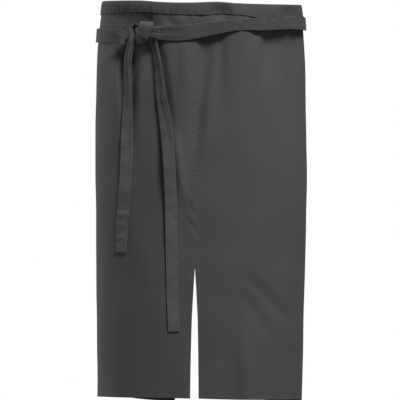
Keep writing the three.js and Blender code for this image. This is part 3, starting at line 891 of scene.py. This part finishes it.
def tie(name, surface, total):
    """One tie, pressed thinner along its stitches and rubbed where hands pull its free end; that end is also
    painted lighter, so the tie stays darker near the knot and along the belt, where shade falls.
    """
    along = spaced((0, TIE_STEP_ALONG), (total, 0))
    across = spaced((-TIE_EDGE, TIE_STEP_ACROSS), (TIE_EDGE, 0))
    u, v = np.meshgrid(along, across)
    inside = np.minimum(TIE_EDGE - np.abs(v), np.minimum(u, total - u))
    half = TIE_CLOTH / 2 - TIE_DENT * near(inside - TIE_STITCH, TIE_DENT_WIDTH)
    handled_and_painted_light = HANDLED_WEAR_AND_PAINTED_LIGHT * (1 - smoothstep(total - u, *HANDLED_AND_PAINTED_LIGHT_REACH))
    wear_and_painted_light = handled_and_painted_light + TIE_EDGE_WEAR * near(inside, TIE_EDGE_WEAR_WIDTH)
    return cloth_piece(name, surface, u, v, half, half, wear_and_painted_light)


left_tie_length = left_stations[0][-1]
right_tie_length = right_stations[0][-1]
left_tie = tie("left_tie_cloth", left_tie_surface, left_tie_length)
right_tie = tie("right_tie_cloth", right_tie_surface, right_tie_length)

# %% [markdown]
# ## Stitches
# Rows of lockstitch hold every hem, the lapped seam, the waistband and the ties. A dashed bump would
# vanish from the mesh, so each stitch is a short closed length of thread with rounded ends. All stitches
# of one piece are one mesh, made from a single template.

# %% One stitch
STITCH_LENGTH = 2.5
STITCH_GAP = 0.9
STITCH_SPACING = STITCH_LENGTH + STITCH_GAP
THREAD_WIDTH = 0.62
THREAD_HEIGHT = 0.5
STITCH_SIDES = 6
STITCH_RINGS = ((-0.5, 0.35), (-0.36, 0.85), (0.0, 1.0), (0.36, 0.85), (0.5, 0.35))


def stitch_template():
    """Points (along, across, up) and faces of one stitch of unit size."""
    points = []
    for place, size in STITCH_RINGS:
        for k in range(STITCH_SIDES):
            turn = 2 * math.pi * k / STITCH_SIDES
            points.append((place, size * math.cos(turn) / 2, size * math.sin(turn) / 2))
    faces = []
    for ring in range(len(STITCH_RINGS) - 1):
        for k in range(STITCH_SIDES):
            a = ring * STITCH_SIDES + k
            b = ring * STITCH_SIDES + (k + 1) % STITCH_SIDES
            faces.append((a, b, b + STITCH_SIDES, a + STITCH_SIDES))
    last = (len(STITCH_RINGS) - 1) * STITCH_SIDES
    caps = [tuple(range(STITCH_SIDES))[::-1], tuple(last + k for k in range(STITCH_SIDES))]
    return np.array(points), faces + caps


print("one stitch has", len(stitch_template()[1]), "faces")


# %% Rows of stitches
def stitch_row(surface, u, v, height):
    """Places of all stitch points along one line of a surface, at a height above its middle."""
    line = surface(u, v)
    length = np.concatenate([[0], np.cumsum(np.linalg.norm(np.diff(line, axis=0), axis=1))])
    starts = np.arange(STITCH_GAP, length[-1] - STITCH_LENGTH, STITCH_SPACING)
    ends = starts[:, None] + [0, STITCH_LENGTH]
    u_ends = np.interp(ends, length, u)
    v_ends = np.interp(ends, length, v)
    heads = surface(u_ends, v_ends)
    up = surface_normal(surface, u_ends.mean(axis=1), v_ends.mean(axis=1))
    step = heads[:, 1] - heads[:, 0]
    side = unit(np.cross(up, step))
    points = stitch_template()[0]
    places = (heads.mean(axis=1) + up * height)[:, None] + points[:, :1] * step[:, None]
    places = places + points[:, 1:2] * side[:, None] * THREAD_WIDTH
    return places + points[:, 2:] * up[:, None] * THREAD_HEIGHT


def stitch_piece(name, rows):
    """One mesh of stitches; a row is a surface, its line (u, v) and the height of the cloth's face."""
    places = np.concatenate([stitch_row(*row) for row in rows])
    points, faces = stitch_template()
    polygons = []
    for first in range(0, len(places) * len(points), len(points)):
        polygons += [tuple(first + k for k in face) for face in faces]
    mesh = bpy.data.meshes.new(name)
    mesh.from_pydata((places.reshape(-1, 3) * MM).tolist(), [], polygons)
    mesh.shade_smooth()
    piece = bpy.data.objects.new(name, mesh)
    scene.collection.objects.link(piece)
    print(f"{name}: {len(places)} stitches")
    return piece


print(f"a stitch starts every {STITCH_SPACING:.1f} mm")

# %% Stitches of the panels
LINE_STEP = 2.0
THREAD_LIFT = 0.1
BACK_ROW = (-800.0, -34.0)
SEAM_ROWS = (2.0, 10.4)
SEAM_ROW_FOOT = TACK_LEVEL + 8
SEAM_ROW_TOP = -28.0


def panel_rows(side):
    """Stitch lines of one panel: foot, split and back hems, and the felled seam on the upper layer."""
    surface = panel_surface(side)
    face = PANEL_CLOTH / 2 - STITCH_DENT + THREAD_LIFT
    across = side * np.arange(HEM_STITCH, PANEL_WIDTH - HEM_STITCH, LINE_STEP)
    foot = hem_level(SEAM_GIRTH + across) + HEM_STITCH
    low = float(hem_level(np.array(SEAM_GIRTH))) + HEM_STITCH
    split = np.arange(low, TACK_LEVEL, LINE_STEP)
    high = np.arange(*BACK_ROW, LINE_STEP)
    rows = [
        (surface, across, foot, face),
        (surface, 0 * split + side * HEM_STITCH, split, face),
        (surface, 0 * high + side * (PANEL_WIDTH - HEM_STITCH), high, face),
    ]
    if side < 0:
        seam = np.arange(SEAM_ROW_FOOT, SEAM_ROW_TOP, LINE_STEP)
        rows += [(surface, 0 * seam - row, seam, PANEL_CLOTH / 2 + THREAD_LIFT) for row in SEAM_ROWS]
    return rows


left_panel_thread = stitch_piece("left_panel_stitches", panel_rows(-1))
right_panel_thread = stitch_piece("right_panel_stitches", panel_rows(1))

# %% Stitches of the waistband
BAND_ROW_INSET = 3
BAND_THREAD_SINK = 0.05

band_line = np.arange(BAND_ROW_INSET - PANEL_WIDTH, PANEL_WIDTH - BAND_ROW_INSET, LINE_STEP)
band_row = (band_surface, band_line, 0 * band_line + BAND_STITCH, BAND_CLOTH / 2 - BAND_THREAD_SINK)
band_thread = stitch_piece("waistband_stitches", [band_row])

# %% Stitches of the ties
TIE_ROW_INSET = 4.0
TIE_THREAD_SINK = 0.08
END_ROWS = (TIE_STITCH, 10)


def tie_rows(surface, total):
    """Both edges of a tie on both faces, and the rows across its free end."""
    line = np.arange(TIE_ROW_INSET, total - TIE_STITCH, LINE_STEP)
    across = np.arange(TIE_ROW_INSET - TIE_WIDTH / 2, TIE_WIDTH / 2 - TIE_ROW_INSET, LINE_STEP)
    face = TIE_CLOTH / 2 - TIE_THREAD_SINK
    rows = []
    for height in (face, -face):
        for edge in (-1, 1):
            rows.append((surface, line, 0 * line + edge * (TIE_WIDTH / 2 - TIE_STITCH), height))
        rows += [(surface, 0 * across + total - end, across, height) for end in END_ROWS]
    return rows


left_tie_thread = stitch_piece("left_tie_stitches", tie_rows(left_tie_surface, left_tie_length))
right_tie_thread = stitch_piece("right_tie_stitches", tie_rows(right_tie_surface, right_tie_length))

# %% [markdown]
# ## Charcoal twill
# Apron twill is polyester and cotton, woven with steep diagonal ribs and dyed charcoal. It is matt, with a
# faint sheen from the loose fibre ends, slightly mottled because the two fibres take the dye differently,
# and a little greyer where edges rub. On the ties the same greyer colour is also painted light: it lightens
# their free ends, so the parts near the knot stay darker, as in shade. The ribs are 0.6 mm apart on the real
# cloth. A pixel is 2 mm, so they are drawn four times as coarse, or they would not show at all.

# %% Sizes in the weave
# A wave texture repeats after this much of its scaled length.
WAVE_PERIOD = 2 * math.pi / 20
COARSER = 4
RIB_MM = 0.6 * COARSER
THREAD_MM = 0.45 * COARSER
THREAD_SHARE = 0.45
RIB_TURN = 63
CUT_CROSSWAYS = RIB_TURN - 90
WEAVE_SHADE = 0.4
MOTTLE_MM = 5.0
MOTTLE_SHADE = 0.62
PATCH_MM = 90.0


def bare_material(name):
    """A new material without nodes, and its tree."""
    material = bpy.data.materials.new(name)
    material.use_nodes = True
    material.node_tree.nodes.clear()
    return material, material.node_tree


print(f"ribs drawn {RIB_MM:.1f} mm apart, threads {THREAD_MM:.1f} mm")

# %% Twill finish
def twill(name, dark, light, faded_and_painted_light, rib_turn=RIB_TURN):
    """Woven, piece-dyed twill in two thread colours, faded where it is worn; on the ties the same fade also
    paints light on the free ends.
    """
    material, tree = bare_material(name)
    flat = add_node(tree, "ShaderNodeAttribute", attribute_name="flat_cloth").outputs["Vector"]
    turned = add_node(
        tree, "ShaderNodeMapping", {"Rotation": (0, 0, math.radians(rib_turn))}, {"Vector": flat}
    ).outputs["Vector"]
    ribs = add_node(
        tree,
        "ShaderNodeTexWave",
        {"Scale": WAVE_PERIOD / (RIB_MM * MM), "Distortion": 1.2, "Detail": 2.0, "Detail Scale": 1.5},
        {"Vector": turned},
    ).outputs["Fac"]
    threads = add_node(
        tree,
        "ShaderNodeTexWave",
        {"Scale": WAVE_PERIOD / (THREAD_MM * MM), "Distortion": 0.8, "Detail": 2.0},
        {"Vector": flat},
        bands_direction="Y",
    ).outputs["Fac"]
    mottle = add_node(
        tree, "ShaderNodeTexNoise", {"Scale": 1 / (MOTTLE_MM * MM), "Detail": 4.0}, {"Vector": flat}
    ).outputs["Fac"]
    patches = add_node(
        tree, "ShaderNodeTexNoise", {"Scale": 1 / (PATCH_MM * MM), "Detail": 2.0}, {"Vector": flat}
    ).outputs["Fac"]
    weave = add_node(
        tree, "ShaderNodeMath", {1: THREAD_SHARE}, {0: threads}, operation="MULTIPLY"
    ).outputs[0]
    relief = add_node(tree, "ShaderNodeMath", links={0: ribs, 1: weave}, operation="ADD").outputs[0]
    shade = add_node(
        tree, "ShaderNodeMath", {1: WEAVE_SHADE}, {0: relief}, operation="MULTIPLY"
    ).outputs[0]
    blend = add_node(tree, "ShaderNodeMath", links={0: mottle, 1: patches}, operation="ADD").outputs[0]
    tone = add_node(
        tree, "ShaderNodeMath", {1: MOTTLE_SHADE}, {0: blend, 2: shade}, operation="MULTIPLY_ADD"
    ).outputs[0]
    dyed = add_node(
        tree,
        "ShaderNodeMix",
        {6: linear(dark), 7: linear(light)},
        {0: tone},
        data_type="RGBA",
        clamp_factor=True,
    ).outputs[2]
    # The wear attribute also holds painted light: on the ties it lightens the free ends, so their parts near
    # the knot stay darker, as in shade.
    wear_and_painted_light = add_node(tree, "ShaderNodeAttribute", attribute_name="wear_and_painted_light").outputs["Fac"]
    rubbed_and_painted_light = add_node(tree, "ShaderNodeMath", links={0: wear_and_painted_light, 1: mottle}, operation="MULTIPLY").outputs[0]
    colour = add_node(
        tree, "ShaderNodeMix", {7: linear(faded_and_painted_light)}, {0: rubbed_and_painted_light, 6: dyed}, data_type="RGBA"
    ).outputs[2]
    rough = add_node(
        tree, "ShaderNodeMapRange", {"To Min": 0.82, "To Max": 0.98}, {"Value": mottle}
    ).outputs[0]
    raised = add_node(
        tree, "ShaderNodeBump", {"Strength": 0.35, "Distance": 0.5 * MM}, {"Height": relief}
    ).outputs["Normal"]
    cloth = add_node(
        tree,
        "ShaderNodeBsdfPrincipled",
        {"IOR": 1.5, "Specular IOR Level": 0.12, "Sheen Weight": 0.03, "Sheen Roughness": 0.5},
        {"Base Color": colour, "Roughness": rough, "Normal": raised},
    )
    add_node(tree, "ShaderNodeOutputMaterial", links={"Surface": cloth.outputs[0]})
    return material


panel_twill = twill("charcoal_apron_twill", "#3b3b3c", "#4a4a4b", "#505050")
band_twill = twill("charcoal_band_twill", "#373738", "#464647", "#4c4c4c", CUT_CROSSWAYS)
tie_twill = twill("charcoal_tie_twill", "#3b3b3b", "#4b4b4b", "#646464", CUT_CROSSWAYS)
print("finishes:", panel_twill.name, band_twill.name, tie_twill.name)

# %% [markdown]
# ## Sewing thread
# The seams are sewn with spun polyester in the cloth's own colour. It is a touch smoother and lighter than
# the twill, because its two plies lie side by side and catch the light, and it is drawn as a fine slanting
# twist. One ply turn takes about 0.8 mm on the real thread and is drawn at that size.

# %% Thread finish
PLY_MM = 0.8
PLIES = 2


def sewing_thread(name, dark, light):
    """Spun two-ply polyester thread."""
    material, tree = bare_material(name)
    place = add_node(tree, "ShaderNodeTexCoord").outputs["Object"]
    plies = add_node(
        tree,
        "ShaderNodeTexWave",
        {"Scale": WAVE_PERIOD * PLIES / (PLY_MM * MM), "Distortion": 0.5},
        {"Vector": place},
        bands_direction="DIAGONAL",
    ).outputs["Fac"]
    colour = add_node(
        tree, "ShaderNodeMix", {6: linear(dark), 7: linear(light)}, {0: plies}, data_type="RGBA"
    ).outputs[2]
    rough = add_node(
        tree, "ShaderNodeMapRange", {"To Min": 0.6, "To Max": 0.75}, {"Value": plies}
    ).outputs[0]
    raised = add_node(
        tree, "ShaderNodeBump", {"Strength": 0.4, "Distance": 0.1 * MM}, {"Height": plies}
    ).outputs["Normal"]
    thread = add_node(
        tree,
        "ShaderNodeBsdfPrincipled",
        {"IOR": 1.5, "Sheen Weight": 0.1},
        {"Base Color": colour, "Roughness": rough, "Normal": raised},
    )
    add_node(tree, "ShaderNodeOutputMaterial", links={"Surface": thread.outputs[0]})
    return material


spun_thread = sewing_thread("charcoal_spun_thread", "#3a3a3b", "#4a4a4b")
print("finish:", spun_thread.name)

# %% [markdown]
# ## Floor
# The floor is a pale painted disc a waist's height below the belt. From the front it is out of the
# picture. From other sides it takes the apron's soft shadow. So large a pale floor would light the dark
# cloth from below, so it is hidden from the light that bounces.

# %% Floor
FLOOR_LEVEL = -1.02
FLOOR_RADIUS = 8.0
FLOOR_SIDES = 96
GRIT_MM = 12.0

turns = np.arange(FLOOR_SIDES) * 2 * math.pi / FLOOR_SIDES
floor_points = [(FLOOR_RADIUS * math.cos(a), FLOOR_RADIUS * math.sin(a), FLOOR_LEVEL) for a in turns]
floor_mesh = bpy.data.meshes.new("pale_floor")
floor_mesh.from_pydata(floor_points, [], [tuple(range(FLOOR_SIDES))])
floor = bpy.data.objects.new("pale_floor", floor_mesh)
scene.collection.objects.link(floor)

paint, paint_tree = bare_material("pale_floor_paint")
floor_place = add_node(paint_tree, "ShaderNodeTexCoord").outputs["Object"]
grit = add_node(
    paint_tree, "ShaderNodeTexNoise", {"Scale": 1 / (GRIT_MM * MM), "Detail": 3.0}, {"Vector": floor_place}
).outputs["Fac"]
tint = add_node(
    paint_tree, "ShaderNodeMix", {6: linear("#d6d6d3"), 7: linear("#dededb")}, {0: grit}, data_type="RGBA"
).outputs[2]
coat = add_node(paint_tree, "ShaderNodeBsdfPrincipled", {"Roughness": 0.8}, {"Base Color": tint})
add_node(paint_tree, "ShaderNodeOutputMaterial", links={"Surface": coat.outputs[0]})
floor_mesh.materials.append(paint)
floor.visible_diffuse = False
floor.visible_glossy = False
print(f"floor {-FLOOR_LEVEL:.2f} m below the waist")

# %% [markdown]
# ## Joining the pieces to the frame
# Nothing here moves on a joint, so every piece rides on the one body. Each cloth piece stands for the solid
# it refines, and its stitches go with it.

PIECES = [
    (left_panel, left_panel_thread, "panel_left", "panel_cloth", panel_twill),
    (right_panel, right_panel_thread, "panel_right", "panel_cloth", panel_twill),
    (waistband, band_thread, "waistband", "band_cloth", band_twill),
    (left_tie, left_tie_thread, "tie_left", "tie_cloth", tie_twill),
    (right_tie, right_tie_thread, "tie_right", "tie_cloth", tie_twill),
]

for cloth, stitches, node, slot, finish in PIECES:
    cloth.data.materials.append(finish)
    stitches.data.materials.append(spun_thread)
    for piece in (cloth, stitches):
        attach(piece, "root")
    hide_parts(node)
print(len(PIECES), "cloth pieces with their stitches")
